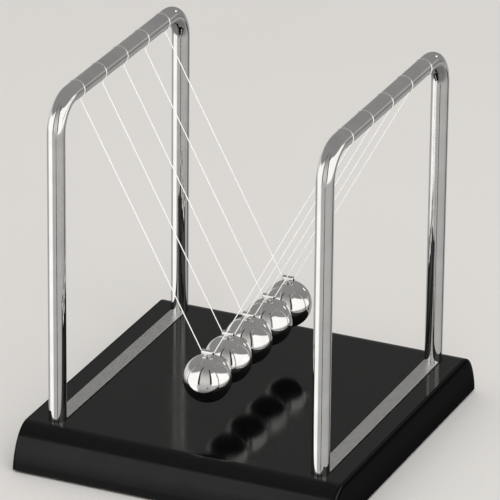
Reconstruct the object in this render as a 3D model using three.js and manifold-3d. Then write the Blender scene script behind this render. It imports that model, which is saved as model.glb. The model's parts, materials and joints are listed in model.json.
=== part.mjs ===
// Newton's cradle: five steel balls hang in a row on V-shaped nylon lines between two chromed U-frames,
// which stand in a gloss black base with two brushed metal inlays.
// Units are millimetres, +Z is up. The origin is the centre of the footprint on the resting plane.
// +X runs from the left frame to the right frame, +Y from the front ball to the rear ball.
import * as THREE from 'three';
import { mergeVertices } from 'three/addons/utils/BufferGeometryUtils.js';
import Module from 'manifold-3d';

const wasm = await Module();
wasm.setup();

// ---- driving dimensions ----
const CLEARANCE = 0.3;              // between a piece and the piece that cuts it
const OVERCUT = 1;                  // how far a cutter runs past the face it opens, or a boss into its roof

const BALL_COUNT = 5;
const BALL_RADIUS = 10;
const BALL_PITCH = 20.05;           // centre to centre, so neighbours hang just clear of each other
const BALL_ABOVE_BASE = 22.1;       // ball centre above the base top

const BASE_WIDTH = 141;             // along X
const BASE_DEPTH = 151.5;           // along Y
const BASE_HEIGHT = 18;
const BASE_WALL = 2.5;
const BROW_DEPTH = 12;              // the front and rear edges fall away in a quarter ellipse this deep
const BROW_STEPS = 10;
const END_EDGE = { across: 0.8, down: 3.2 };      // the left and right top edges, a narrow quarter ellipse
const END_EDGE_STEPS = 5;

const FOOT_RADIUS = 6;
const FOOT_HEIGHT = 1;
const FOOT_TAPER = 0.4;
const FOOT_X = 55;
const FOOT_Y = 60;

const FRAME_SPACING = 116.3;        // between the two rail centre lines
const LEG_SPACING = 117.6;          // front leg to rear leg
const ROD_RADIUS = 3.7;
const ROD_SIDES = 20;
const BEND_RADIUS = 13;             // of the rod's centre line
const BEND_STEPS = 7;
const RAIL_ABOVE_BASE = 137.9;      // rail centre line above the base top
const SOCKET_DEPTH = 10;            // rod seated below the base top
const SOCKET_FLOOR = 2;
const SOCKET_WALL = 3;

const INLAY_WIDTH = 6.5;
const INLAY_SLOT_DEPTH = 1;
const INLAY_PROUD = 0.5;

const PLATE_THICKNESS = 2;
const PLATE_INSET = 0.1;            // clears the front and rear walls, which lean in a little
const BALLAST = { width: 70, depth: 90, height: 5 };
const BALLAST_PEG = { x: 30, y: 38, radius: 2 };

const FRAME_SCREW = { radius: 1.5, headRadius: 3, headHeight: 2, length: 9.5 };
const WASHER = { radius: 4, thickness: 0.8 };
const COVER_SCREW = { radius: 1.3, headRadius: 2.7, headHeight: 1.4, length: 9 };
const COVER_SCREW_Y = 63;           // of the front and rear ones; the other two are below the rails
const COVER_BOSS_RADIUS = 3.5;
const CROSS_RECESS = { reach: 2.6, blade: 0.6, depth: 0.8 };
const PAN_HEAD = { crown: 0.8, shoulder: 0.6 };   // shares of the head's radius and height

const LINE_RADIUS = 0.25;
const LINE_BEND = 0.6;              // where the line leaves the hanger tube
const LINE_LIFT = 0.45;             // above the tube's axis: the ball's weight draws the tube down on the line
const LOOP_GAP = 0.05;              // rod to the loop wound on it
const KNOT_RADIUS = 0.5;
const KNOT_GAP = 0.1;               // knot to its loop and to its line
const PULL_ANGLE = 68;              // degrees below horizontal at which the line pulls its knot inwards

const HANGER_ABOVE_BALL = 11.4;     // tube centre above the ball centre
const HANGER_TUBE = { radius: 1.15, bore: 0.8, length: 5 };
const HANGER_STEM = { radius: 0.8, below: 5 };
const HANGER_COLLAR = { radius: 1.5, low: 10.05, high: 10.7 };

// How finely the small round pieces are faceted.
const FINE = 24;
const MEDIUM = 16;
const COARSE = 12;

// ---- heights and places that follow ----
const UNDERSIDE_Z = FOOT_HEIGHT;
const BASE_TOP_Z = UNDERSIDE_Z + BASE_HEIGHT;
const ROOF_Z = BASE_TOP_Z - BASE_WALL;
const PLATE_TOP_Z = UNDERSIDE_Z + PLATE_THICKNESS;
const ROD_END_Z = BASE_TOP_Z - SOCKET_DEPTH;
const SOCKET_LOW_Z = ROD_END_Z - SOCKET_FLOOR;
const RAIL_Z = BASE_TOP_Z + RAIL_ABOVE_BASE;
const BALL_Z = BASE_TOP_Z + BALL_ABOVE_BASE;
const FRAME_X = FRAME_SPACING / 2;
const LEG_Y = LEG_SPACING / 2;

const LOOP_RADIUS = ROD_RADIUS + LOOP_GAP + LINE_RADIUS;
const KNOT_REACH = LOOP_RADIUS + LINE_RADIUS + KNOT_GAP + KNOT_RADIUS;
const PULL = THREE.MathUtils.degToRad(PULL_ANGLE);
const KNOT_X = FRAME_X - KNOT_REACH * Math.cos(PULL);
const KNOT_Z = RAIL_Z - KNOT_REACH * Math.sin(PULL);

const SIDES = [{ name: 'left', sign: -1 }, { name: 'right', sign: 1 }];
const ENDS = [{ name: 'front', sign: -1 }, { name: 'rear', sign: 1 }];

// ---- solids ----
function toSolid(geometry) {
  const bare = geometry.clone();
  bare.deleteAttribute('normal');
  bare.deleteAttribute('uv');
  const merged = mergeVertices(bare, 1e-4);
  return new wasm.Manifold(new wasm.Mesh({
    numProp: 3,
    vertProperties: new Float32Array(merged.attributes.position.array),
    triVerts: new Uint32Array(merged.index.array),
  }));
}

function toGeometry(solid) {
  const mesh = solid.getMesh();
  const geometry = new THREE.BufferGeometry();
  geometry.setAttribute('position', new THREE.BufferAttribute(new Float32Array(mesh.vertProperties), 3));
  geometry.setIndex(new THREE.BufferAttribute(new Uint32Array(mesh.triVerts), 1));
  geometry.computeVertexNormals();
  return geometry;
}

const joined = (first, ...others) => others.reduce((solid, other) => solid.add(other), first);
const cutBy = (first, ...others) => others.reduce((solid, other) => solid.subtract(other), first);

function uprightCylinder(radius, low, high, segments = FINE) {
  const geometry = new THREE.CylinderGeometry(radius, radius, high - low, segments);
  return geometry.rotateX(Math.PI / 2).translate(0, 0, (low + high) / 2);
}

function box(width, depth, low, high) {
  return new THREE.BoxGeometry(width, depth, high - low).translate(0, 0, (low + high) / 2);
}

// A lathed solid standing on Z. The profile lists [radius, height] upwards from the axis to the axis.
function turned(profile, segments = FINE) {
  const points = profile.map(([radius, height]) => new THREE.Vector2(radius, height));
  return new THREE.LatheGeometry(points, segments).rotateX(Math.PI / 2);
}

// A path of straight runs joined by arcs, stepped only where it turns.
class BentPath extends THREE.Curve {
  constructor(corners, radius, arcSteps) {
    super();
    this.stations = [{ point: corners[0], tangent: BentPath.heading(corners[0], corners[1]) }];
    for (let i = 1; i < corners.length - 1; i += 1) {
      this.addArc(corners[i - 1], corners[i], corners[i + 1], radius, arcSteps);
    }
    const [before, last] = corners.slice(-2);
    this.stations.push({ point: last, tangent: BentPath.heading(before, last) });
  }

  static heading(from, to) {
    return to.clone().sub(from).normalize();
  }

  addArc(before, corner, after, radius, steps) {
    const inward = BentPath.heading(before, corner);
    const outward = BentPath.heading(corner, after);
    const turn = inward.angleTo(outward);
    const start = corner.clone().addScaledVector(inward, -radius * Math.tan(turn / 2));
    const side = outward.clone().addScaledVector(inward, -inward.dot(outward)).normalize();
    for (let i = 0; i <= steps; i += 1) {
      const angle = turn * i / steps;
      const point = start.clone()
        .addScaledVector(inward, radius * Math.sin(angle))
        .addScaledVector(side, radius * (1 - Math.cos(angle)));
      const tangent = inward.clone().multiplyScalar(Math.cos(angle)).addScaledVector(side, Math.sin(angle));
      this.stations.push({ point, tangent });
    }
  }

  get steps() {
    return this.stations.length - 1;
  }

  station(u) {
    return this.stations[Math.round(u * this.steps)];
  }

  getPointAt(u, target = new THREE.Vector3()) {
    return target.copy(this.station(u).point);
  }

  getTangentAt(u, target = new THREE.Vector3()) {
    return target.copy(this.station(u).tangent);
  }
}

function roundBar(path, radius, sides) {
  const section = new THREE.Shape();
  for (let i = 0; i < sides; i += 1) {
    const angle = 2 * Math.PI * i / sides;
    const move = i === 0 ? 'moveTo' : 'lineTo';
    section[move](radius * Math.cos(angle), radius * Math.sin(angle));
  }
  section.closePath();
  return new THREE.ExtrudeGeometry(section, { steps: path.steps, extrudePath: path, bevelEnabled: false });
}

// ---- base ----
// A slab with rounded upper edges, extruded along one horizontal axis and centred on it.
function roundedSlab({ across, along, low, high, roundAcross, roundUp, steps }) {
  const inner = across / 2 - roundAcross;
  const springLine = high - roundUp;
  const shape = new THREE.Shape();
  shape.moveTo(-across / 2, low);
  shape.lineTo(across / 2, low);
  for (let i = 0; i <= steps; i += 1) {
    const angle = Math.PI / 2 * i / steps;
    shape.lineTo(inner + roundAcross * Math.cos(angle), springLine + roundUp * Math.sin(angle));
  }
  for (let i = steps; i >= 0; i -= 1) {
    const angle = Math.PI / 2 * i / steps;
    shape.lineTo(-inner - roundAcross * Math.cos(angle), springLine + roundUp * Math.sin(angle));
  }
  return new THREE.ExtrudeGeometry(shape, { depth: along, bevelEnabled: false })
    .translate(0, 0, -along / 2)
    .rotateX(Math.PI / 2);
}

function baseBlock(inset, low, high) {
  const width = BASE_WIDTH - 2 * inset;
  const depth = BASE_DEPTH - 2 * inset;
  const browed = roundedSlab({
    across: depth, along: width + 2 * OVERCUT, low, high,
    roundAcross: BROW_DEPTH - inset / 2, roundUp: high - UNDERSIDE_Z, steps: BROW_STEPS,
  }).rotateZ(Math.PI / 2);
  const edged = roundedSlab({
    across: width, along: depth + 2 * OVERCUT, low, high,
    roundAcross: END_EDGE.across, roundUp: END_EDGE.down, steps: END_EDGE_STEPS,
  });
  return toSolid(browed).intersect(toSolid(edged));
}

const legPlaces = SIDES.flatMap((side) => ENDS.map((end) => ({
  name: `${end.name}_${side.name}`,
  x: side.sign * FRAME_X,
  y: end.sign * LEG_Y,
})));

const coverScrewPlaces = [
  { name: 'left', x: -FRAME_X, y: 0 },
  { name: 'right', x: FRAME_X, y: 0 },
  { name: 'front', x: 0, y: -COVER_SCREW_Y },
  { name: 'rear', x: 0, y: COVER_SCREW_Y },
];

const pegPlaces = SIDES.flatMap((side) => ENDS.map((end) => ({
  x: side.sign * BALLAST_PEG.x,
  y: end.sign * BALLAST_PEG.y,
})));

const at = (geometry, place) => toSolid(geometry.translate(place.x, place.y, 0));

function baseShell() {
  const roofOverlap = ROOF_Z + OVERCUT;
  const hollow = baseBlock(BASE_WALL, UNDERSIDE_Z - OVERCUT, ROOF_Z);
  const skin = cutBy(baseBlock(0, UNDERSIDE_Z, BASE_TOP_Z), hollow);
  const sockets = legPlaces.map((place) => at(
    uprightCylinder(ROD_RADIUS + CLEARANCE + SOCKET_WALL, SOCKET_LOW_Z, roofOverlap), place));
  const bosses = coverScrewPlaces.map((place) => at(
    uprightCylinder(COVER_BOSS_RADIUS, PLATE_TOP_Z, roofOverlap, MEDIUM), place));
  const pegLow = PLATE_TOP_Z + BALLAST.height + CLEARANCE;
  const pegs = pegPlaces.map((place) => at(
    uprightCylinder(BALLAST_PEG.radius, pegLow, roofOverlap, COARSE), place));
  const bores = legPlaces.map((place) => at(
    uprightCylinder(ROD_RADIUS + CLEARANCE, ROD_END_Z, BASE_TOP_Z + OVERCUT), place));
  const holeRadius = FRAME_SCREW.radius + CLEARANCE;
  const screwHoles = legPlaces.map((place) => at(
    uprightCylinder(holeRadius, SOCKET_LOW_Z - OVERCUT, ROD_END_Z + OVERCUT, MEDIUM), place));
  const pilotTop = UNDERSIDE_Z + COVER_SCREW.length + CLEARANCE;
  const pilots = coverScrewPlaces.map((place) => at(
    uprightCylinder(COVER_SCREW.radius + CLEARANCE, PLATE_TOP_Z - OVERCUT, pilotTop, COARSE), place));
  const slots = SIDES.map((side) => at(
    box(INLAY_WIDTH + 2 * CLEARANCE, LEG_SPACING, BASE_TOP_Z - INLAY_SLOT_DEPTH, BASE_TOP_Z + OVERCUT),
    { x: side.sign * FRAME_X, y: 0 }));
  const solid = joined(skin, ...sockets, ...bosses, ...pegs);
  return toGeometry(cutBy(solid, ...bores, ...screwHoles, ...pilots, ...slots));
}

function bottomPlate() {
  const edge = BASE_WALL + CLEARANCE;
  const width = BASE_WIDTH - 2 * edge;
  const depth = BASE_DEPTH - 2 * (edge + PLATE_INSET);
  const plate = toSolid(box(width, depth, UNDERSIDE_Z, PLATE_TOP_Z));
  const seats = coverScrewPlaces.map((place) => at(turned([
    [0, UNDERSIDE_Z - OVERCUT],
    [COVER_SCREW.headRadius + CLEARANCE, UNDERSIDE_Z - OVERCUT],
    [COVER_SCREW.headRadius + CLEARANCE, UNDERSIDE_Z],
    [COVER_SCREW.radius + CLEARANCE, UNDERSIDE_Z + COVER_SCREW.headHeight],
    [COVER_SCREW.radius + CLEARANCE, PLATE_TOP_Z + OVERCUT],
    [0, PLATE_TOP_Z + OVERCUT],
  ], MEDIUM), place));
  return toGeometry(cutBy(plate, ...seats));
}

// Cut upwards into a head whose flat is at the given height.
function crossRecess(flatZ) {
  const { reach, blade, depth } = CROSS_RECESS;
  const low = flatZ - OVERCUT;
  const high = flatZ + depth;
  return joined(toSolid(box(reach, blade, low, high)), toSolid(box(blade, reach, low, high)));
}

// Countersunk, head down, with its head's flat at z = 0.
function coverScrew() {
  const body = toSolid(turned([
    [0, 0],
    [COVER_SCREW.headRadius, 0],
    [COVER_SCREW.radius, COVER_SCREW.headHeight],
    [COVER_SCREW.radius, COVER_SCREW.length],
    [0, COVER_SCREW.length],
  ], MEDIUM));
  return toGeometry(cutBy(body, crossRecess(0)));
}

// Pan head, head down, with the head's seating face at z = 0.
function frameScrew() {
  const { radius, headRadius, headHeight, length } = FRAME_SCREW;
  const body = toSolid(turned([
    [0, -headHeight],
    [headRadius * PAN_HEAD.crown, -headHeight],
    [headRadius, -headHeight * PAN_HEAD.shoulder],
    [headRadius, 0],
    [radius, 0],
    [radius, length],
    [0, length],
  ], MEDIUM));
  return toGeometry(cutBy(body, crossRecess(-headHeight)));
}

function washer() {
  const disc = toSolid(uprightCylinder(WASHER.radius, -WASHER.thickness, 0));
  const holeRadius = FRAME_SCREW.radius + CLEARANCE;
  const hole = toSolid(uprightCylinder(holeRadius, -WASHER.thickness - OVERCUT, OVERCUT, MEDIUM));
  return toGeometry(cutBy(disc, hole));
}

function inlay() {
  const low = -INLAY_SLOT_DEPTH;
  const strip = toSolid(box(INLAY_WIDTH, LEG_SPACING, low, INLAY_PROUD));
  const notchRadius = ROD_RADIUS + CLEARANCE;
  const notches = ENDS.map((end) => at(
    uprightCylinder(notchRadius, low - OVERCUT, INLAY_PROUD + OVERCUT), { x: 0, y: end.sign * LEG_Y }));
  return toGeometry(cutBy(strip, ...notches));
}

const foot = () => turned([
  [0, 0],
  [FOOT_RADIUS - FOOT_TAPER, 0],
  [FOOT_RADIUS, FOOT_HEIGHT],
  [0, FOOT_HEIGHT],
]);

// ---- frames ----
// An inverted U in the YZ plane, tapped up both legs for the screws that hold it to the base.
function uFrame() {
  const corners = [
    [-LEG_Y, ROD_END_Z], [-LEG_Y, RAIL_Z], [LEG_Y, RAIL_Z], [LEG_Y, ROD_END_Z],
  ].map(([y, z]) => new THREE.Vector3(0, y, z));
  const rod = toSolid(roundBar(new BentPath(corners, BEND_RADIUS, BEND_STEPS), ROD_RADIUS, ROD_SIDES));
  const tapRadius = FRAME_SCREW.radius + CLEARANCE;
  const tapTop = ROD_END_Z + FRAME_SCREW.length;
  const taps = ENDS.map((end) => at(
    uprightCylinder(tapRadius, ROD_END_Z - OVERCUT, tapTop, COARSE), { x: 0, y: end.sign * LEG_Y }));
  return toGeometry(cutBy(rod, ...taps));
}

// ---- pendulums ----
const loop = () => new THREE.TorusGeometry(LOOP_RADIUS, LINE_RADIUS, 6, ROD_SIDES).rotateX(Math.PI / 2);

const knot = () => new THREE.SphereGeometry(KNOT_RADIUS, 8, 6);

// From one knot down to the hanger tube, through it, and up to the other knot, in the XZ plane.
function vLine() {
  const lineZ = BALL_Z + HANGER_ABOVE_BALL + LINE_LIFT;
  const slope = Math.atan2(KNOT_Z - lineZ, KNOT_X);
  const elbowX = HANGER_TUBE.length / 2 + LINE_BEND * Math.tan(slope / 2);
  const lineSlope = Math.atan2(KNOT_Z - lineZ, KNOT_X - elbowX);
  const trim = KNOT_RADIUS + KNOT_GAP;
  const endX = KNOT_X - trim * Math.cos(lineSlope);
  const endZ = KNOT_Z - trim * Math.sin(lineSlope);
  const corners = [
    [-endX, endZ], [-elbowX, lineZ], [elbowX, lineZ], [endX, endZ],
  ].map(([x, z]) => new THREE.Vector3(x, 0, z));
  return roundBar(new BentPath(corners, LINE_BEND, 4), LINE_RADIUS, 6);
}

// The line runs through the tube; the collar sits on the ball and the stem goes down into its hole.
function hanger() {
  const { radius, bore, length } = HANGER_TUBE;
  const along = (r, l) => new THREE.CylinderGeometry(r, r, l, COARSE)
    .rotateZ(Math.PI / 2)
    .translate(0, 0, HANGER_ABOVE_BALL);
  const body = joined(
    toSolid(along(radius, length)),
    toSolid(uprightCylinder(HANGER_STEM.radius, HANGER_STEM.below, HANGER_ABOVE_BALL, COARSE)),
    toSolid(uprightCylinder(HANGER_COLLAR.radius, HANGER_COLLAR.low, HANGER_COLLAR.high, COARSE)),
  );
  return toGeometry(cutBy(body, toSolid(along(bore, length + 2 * OVERCUT))));
}

// A sphere with a blind hole down from its top for the hanger's stem.
function ball() {
  const holeRadius = HANGER_STEM.radius + CLEARANCE;
  const holeFloor = HANGER_STEM.below - CLEARANCE;
  const rim = Math.acos(holeRadius / BALL_RADIUS);
  const rows = FINE / 2 + 2;
  const profile = [[0, -BALL_RADIUS]];
  for (let i = 1; i < rows; i += 1) {
    const latitude = -Math.PI / 2 + Math.PI * i / rows;
    profile.push([BALL_RADIUS * Math.cos(latitude), BALL_RADIUS * Math.sin(latitude)]);
  }
  profile.push([holeRadius, BALL_RADIUS * Math.sin(rim)], [holeRadius, holeFloor], [0, holeFloor]);
  return turned(profile);
}

// ---- finishes ----
const FINISHES = {
  gloss_black: { color: 0x141414, roughness: 0.15, metalness: 0 },
  black_plastic: { color: 0x1c1c1c, roughness: 0.6, metalness: 0 },
  chrome: { color: 0xd8d8d6, roughness: 0.06, metalness: 1 },
  polished_steel: { color: 0xd0d0ce, roughness: 0.08, metalness: 1 },
  brushed_metal: { color: 0x8c8c89, roughness: 0.4, metalness: 1 },
  zinc: { color: 0xa9abad, roughness: 0.35, metalness: 1 },
  bare_steel: { color: 0x77787a, roughness: 0.5, metalness: 1 },
  rubber: { color: 0x151515, roughness: 0.9, metalness: 0 },
  nylon: { color: 0xefefea, roughness: 0.4, metalness: 0 },
};

function piece(name, geometry, finish, position = [0, 0, 0]) {
  const mesh = new THREE.Mesh(geometry, new THREE.MeshStandardMaterial(FINISHES[finish]));
  mesh.name = name;
  mesh.position.set(...position);
  return mesh;
}

// ---- assembly ----
const base = new THREE.Group();
base.add(piece('base_shell', baseShell(), 'gloss_black'));
base.add(piece('bottom_plate', bottomPlate(), 'black_plastic'));
const ballastBlock = box(BALLAST.width, BALLAST.depth, 0, BALLAST.height);
base.add(piece('ballast_plate', ballastBlock, 'bare_steel', [0, 0, PLATE_TOP_Z]));
for (const side of SIDES) {
  base.add(piece(`inlay_${side.name}`, inlay(), 'brushed_metal', [side.sign * FRAME_X, 0, BASE_TOP_Z]));
  for (const end of ENDS) {
    const footPlace = [side.sign * FOOT_X, end.sign * FOOT_Y, 0];
    base.add(piece(`foot_${end.name}_${side.name}`, foot(), 'rubber', footPlace));
  }
}
for (const { name, x, y } of coverScrewPlaces) {
  base.add(piece(`cover_screw_${name}`, coverScrew(), 'zinc', [x, y, UNDERSIDE_Z]));
}
for (const { name, x, y } of legPlaces) {
  base.add(piece(`frame_washer_${name}`, washer(), 'zinc', [x, y, SOCKET_LOW_Z]));
  const screwPlace = [x, y, SOCKET_LOW_Z - WASHER.thickness];
  base.add(piece(`frame_screw_${name}`, frameScrew(), 'zinc', screwPlace));
}

const frames = new THREE.Group();
for (const side of SIDES) {
  frames.add(piece(`frame_${side.name}`, uFrame(), 'chrome', [side.sign * FRAME_X, 0, 0]));
}

const pendulums = new THREE.Group();
for (let number = 1; number <= BALL_COUNT; number += 1) {
  const pendulum = new THREE.Group();
  pendulum.position.y = (number - (BALL_COUNT + 1) / 2) * BALL_PITCH;
  pendulum.add(piece(`ball_${number}`, ball(), 'polished_steel', [0, 0, BALL_Z]));
  pendulum.add(piece(`hanger_${number}`, hanger(), 'chrome', [0, 0, BALL_Z]));
  pendulum.add(piece(`line_${number}`, vLine(), 'nylon'));
  for (const side of SIDES) {
    const loopPlace = [side.sign * FRAME_X, 0, RAIL_Z];
    const knotPlace = [side.sign * KNOT_X, 0, KNOT_Z];
    pendulum.add(piece(`loop_${side.name}_${number}`, loop(), 'nylon', loopPlace));
    pendulum.add(piece(`knot_${side.name}_${number}`, knot(), 'nylon', knotPlace));
  }
  pendulums.add(pendulum);
}

const cradle = new THREE.Group();
cradle.add(base, frames, pendulums);

export default cradle;
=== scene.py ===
# Newton's cradle: fine meshes, materials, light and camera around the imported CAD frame.
# Metres, +Z up. +X runs from the left frame to the right one, +Y from the front ball to the rear one.
import json
import math

import bmesh
import bpy
from mathutils import Matrix, Vector


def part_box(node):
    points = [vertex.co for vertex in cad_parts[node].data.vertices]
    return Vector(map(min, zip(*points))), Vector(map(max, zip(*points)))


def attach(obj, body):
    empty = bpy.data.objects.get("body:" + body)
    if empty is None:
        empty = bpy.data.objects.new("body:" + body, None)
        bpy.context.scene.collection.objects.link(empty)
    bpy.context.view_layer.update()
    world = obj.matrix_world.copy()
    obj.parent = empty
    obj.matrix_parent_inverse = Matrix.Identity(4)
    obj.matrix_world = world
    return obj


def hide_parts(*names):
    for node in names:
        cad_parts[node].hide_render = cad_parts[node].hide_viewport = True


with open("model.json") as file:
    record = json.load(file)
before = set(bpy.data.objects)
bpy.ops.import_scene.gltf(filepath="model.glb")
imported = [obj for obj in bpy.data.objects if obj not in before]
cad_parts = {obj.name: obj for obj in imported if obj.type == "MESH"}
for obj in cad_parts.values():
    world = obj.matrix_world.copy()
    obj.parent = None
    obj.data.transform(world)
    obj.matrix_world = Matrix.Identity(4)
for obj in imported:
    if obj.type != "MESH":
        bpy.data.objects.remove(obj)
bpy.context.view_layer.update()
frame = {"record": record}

MM = 0.001
X, Y, Z = Vector((1, 0, 0)), Vector((0, 1, 0)), Vector((0, 0, 1))

# ---- driving dimensions that the frame's boxes don't give ----
CLEARANCE = 0.3 * MM
ROD_FIT = 0.05 * MM                 # round each leg where it enters the base
OVERCUT = 1 * MM                    # how far a cutter runs past the face it opens
EASED = 0.1 * MM                    # the broken edge round a slot or a hole

BASE_WALL = 2.5 * MM
BROW_DEPTH = 12 * MM                # the front and rear edges fall away in a quarter ellipse
END_EDGE_ACROSS = 0.8 * MM          # the ends' edge, a narrow quarter ellipse
END_EDGE_DOWN = 3.2 * MM
END_EDGE_DOWN_AT_FOOT = 0.5 * MM
SEAM = [(0.8 * MM, 0), (0.88 * MM, 0.3 * MM), (1.12 * MM, 0.3 * MM), (1.2 * MM, 0)]   # (from the end, deep)
BEND_RADIUS = 13 * MM
ROD_CHAMFER = 0.5 * MM
INLAY_EDGE = 0.3 * MM
PLATE_CORNER, BALLAST_CORNER = 1 * MM, 1.5 * MM
BALLAST_BEVEL = 0.4 * MM
FOOT_DRAFT, FOOT_EDGE = 0.4 * MM, 0.3 * MM
WASHER_EASE = 0.12 * MM
SOCKET_FLOOR = 2 * MM
SOCKET_WALL = 3 * MM
SCREW_BORE = 1.8 * MM
FRAME_SCREW_REACH = 9.5 * MM
COVER_BOSS_RADIUS = 3.5 * MM
COVER_PILOT_RADIUS = 1.6 * MM
PEG_RADIUS = 2 * MM
PEG_X, PEG_Y = 30 * MM, 38 * MM     # pegs that hold the ballast down
COVER_SCREW = {"head": 1.4 * MM, "shank": 1.3 * MM, "thread_from": 2.2 * MM, "edge": 0.1 * MM}
FRAME_SCREW = {"head": 2 * MM, "shank": 1.5 * MM, "thread_from": 3 * MM, "edge": 0.8 * MM}
RECESS_REACH, RECESS_BLADE, RECESS_DEPTH = 2.6 * MM, 0.6 * MM, 0.8 * MM
RECESS_CORNER = 0.1 * MM
THREAD_PITCH, THREAD_DEPTH = 0.5 * MM, 0.16 * MM
CREST_FROM, CREST_TO = 0.4, 0.6     # shares of the pitch

LINE_RADIUS = 0.21 * MM
GROOVE_RADIUS = 0.28 * MM
KNOT_THREAD = 0.17 * MM
KNOT_TURNS = 3
KNOT_PITCH = 2.1 * KNOT_THREAD      # its turns lie side by side with a trace of a gap
KNOT_COVERS = 0.45 * MM             # a line starts this far from its knot's centre, inside the winding
HANGER_TUBE_RADIUS = 1.15 * MM
HANGER_BORE = 0.8 * MM
HANGER_LIP = 0.18 * MM              # the tube's outer edge
BORE_FLARE = 0.15 * MM
HANGER_STEM_RADIUS = 0.8 * MM
COLLAR_RADIUS = 1.5 * MM
COLLAR_EDGE = 0.2 * MM
COLLAR_LOW, COLLAR_HIGH = 10.05 * MM, 10.7 * MM    # above the ball's centre
STEM_HOLE_FLOOR = 4.7 * MM                         # above the ball's centre
LINE_BEND = 0.6 * MM                               # where the line leaves the hanger's tube
LINE_LIFT = 0.45 * MM                              # above the tube's axis, drawn up against its bore

# ---- driving dimensions that it does give ----
BASE_LOW, BASE_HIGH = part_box("base_shell")
BASE_TOP, UNDERSIDE = BASE_HIGH.z, BASE_LOW.z
ROOF = BASE_TOP - BASE_WALL
FRAME_LOW, FRAME_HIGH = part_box("frame_right")
ROD_RADIUS = (FRAME_HIGH.x - FRAME_LOW.x) / 2
FRAME_X = (FRAME_HIGH.x + FRAME_LOW.x) / 2
LEG_Y = FRAME_HIGH.y - ROD_RADIUS
RAIL_Z = FRAME_HIGH.z - ROD_RADIUS
ROD_END = FRAME_LOW.z
SOCKET_LOW = ROD_END - SOCKET_FLOOR
PLATE_LOW, PLATE_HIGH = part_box("bottom_plate")
BALLAST_LOW, BALLAST_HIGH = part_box("ballast_plate")

WELD = MM / 1000                    # corners closer than this become one
LINE_SIDES, ROD_SIDES, BALL_SIDES = 12, 96, 128

NUMBERS = range(1, 6)
SIDES = {"left": -1, "right": 1}
ENDS = {"front": -1, "rear": 1}


def middle(node):
    """The centre of a CAD node's box."""
    low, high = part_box(node)
    return (low + high) / 2


def place_of(node):
    """The point on the resting plane under a CAD node."""
    return middle(node) * Vector((1, 1, 0))


def radius_of(node):
    """Half the width of a CAD node, along X."""
    low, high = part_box(node)
    return (high.x - low.x) / 2


LEG_PLACES = [Vector((sx * FRAME_X, sy * LEG_Y, 0)) for sx in SIDES.values() for sy in ENDS.values()]
COVER_SCREWS = [f"cover_screw_{where}" for where in ("left", "right", "front", "rear")]
PEG_PLACES = [Vector((sx * PEG_X, sy * PEG_Y, 0)) for sx in (-1, 1) for sy in (-1, 1)]


# ---- node trees ----
class Tree:
    """A thin hand on a node tree: sockets go in as values or links, and the main output comes back."""

    def __init__(self, tree):
        self.tree = tree

    def add(self, kind, inputs=None, **settings):
        node = self.tree.nodes.new(kind)
        for name, value in settings.items():
            setattr(node, name, value)
        for name, value in (inputs or {}).items():
            self.put(node.inputs[name], value)
        return node

    def put(self, socket, value):
        if isinstance(value, bpy.types.NodeSocket):
            self.tree.links.new(value, socket)
        else:
            socket.default_value = value

    def math(self, operation, *values):
        node = self.add("ShaderNodeMath", operation=operation)
        for socket, value in zip(node.inputs, values):
            self.put(socket, value)
        return node.outputs[0]

    def ramp(self, value, start, end, low=0.0, high=1.0):
        """A smooth step of value, from low at start to high at end. Plain starts may be above their ends."""
        if not isinstance(start, bpy.types.NodeSocket) and start > end:
            start, end, low, high = end, start, high, low
        inputs = {"Value": value, "From Min": start, "From Max": end, "To Min": low, "To Max": high}
        return self.add("ShaderNodeMapRange", inputs, interpolation_type="SMOOTHSTEP").outputs[0]

    def times(self, a, b):
        return self.math("MULTIPLY", a, b)

    def minus(self, a, b):
        return self.math("SUBTRACT", a, b)

    def away(self, value, centre):
        """How far a value is from a centre."""
        return self.math("ABSOLUTE", self.minus(value, centre))

    def parts(self, vector):
        """The three numbers of a vector."""
        return self.add("ShaderNodeSeparateXYZ", {"Vector": vector}).outputs

    def slope(self, value, factor, start):
        """factor times value, plus start."""
        return self.math("MULTIPLY_ADD", value, factor, start)

    def spread(self, across, half_width, up, half_height):
        """0 at the middle of an oval and 1 on its rim, then rising."""
        x, y = self.math("DIVIDE", across, half_width), self.math("DIVIDE", up, half_height)
        return self.math("ADD", self.times(x, x), self.times(y, y))

    def mix(self, share, a, b):
        """a where share is 0 and b where it is 1, for plain numbers."""
        node = self.add("ShaderNodeMix", {"Factor": share, "A": a, "B": b}, data_type="FLOAT")
        return node.outputs["Result"]

    def colours(self, share, a, b):
        """Between two plain colours."""
        return self.mixed_colours(share, (*a, 1), (*b, 1))

    def mixed_colours(self, share, a, b):
        """Between two colours with alpha, or links to them."""
        return self.add("ShaderNodeMixRGB", {"Fac": share, "Color1": a, "Color2": b}).outputs[0]

    def noise(self, place, scale, detail=3.0, roughness=0.5):
        inputs = {"Vector": place, "Scale": scale, "Detail": detail, "Roughness": roughness}
        return self.add("ShaderNodeTexNoise", inputs).outputs[0]

    def stretched(self, place, scale):
        return self.add("ShaderNodeMapping", {"Vector": place, "Scale": scale}).outputs[0]

    def bump(self, height, distance, strength=1.0):
        inputs = {"Height": height, "Distance": distance, "Strength": strength}
        return self.add("ShaderNodeBump", inputs).outputs[0]

    def place(self):
        """The shaded point, in the piece's own coordinates."""
        return self.add("ShaderNodeTexCoord").outputs["Object"]


def material(name, shade):
    """A material whose Principled inputs are what shade(tree) returns."""
    made = bpy.data.materials.new(name)
    made.use_nodes = True
    tree = Tree(made.node_tree)
    principled = made.node_tree.nodes["Principled BSDF"]
    for socket, value in shade(tree).items():
        tree.put(principled.inputs[socket], value)
    return made


# ---- materials ----
def grey(tone):
    """A near-neutral colour, very slightly warm."""
    return (tone, tone, tone - 0.01)


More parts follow.
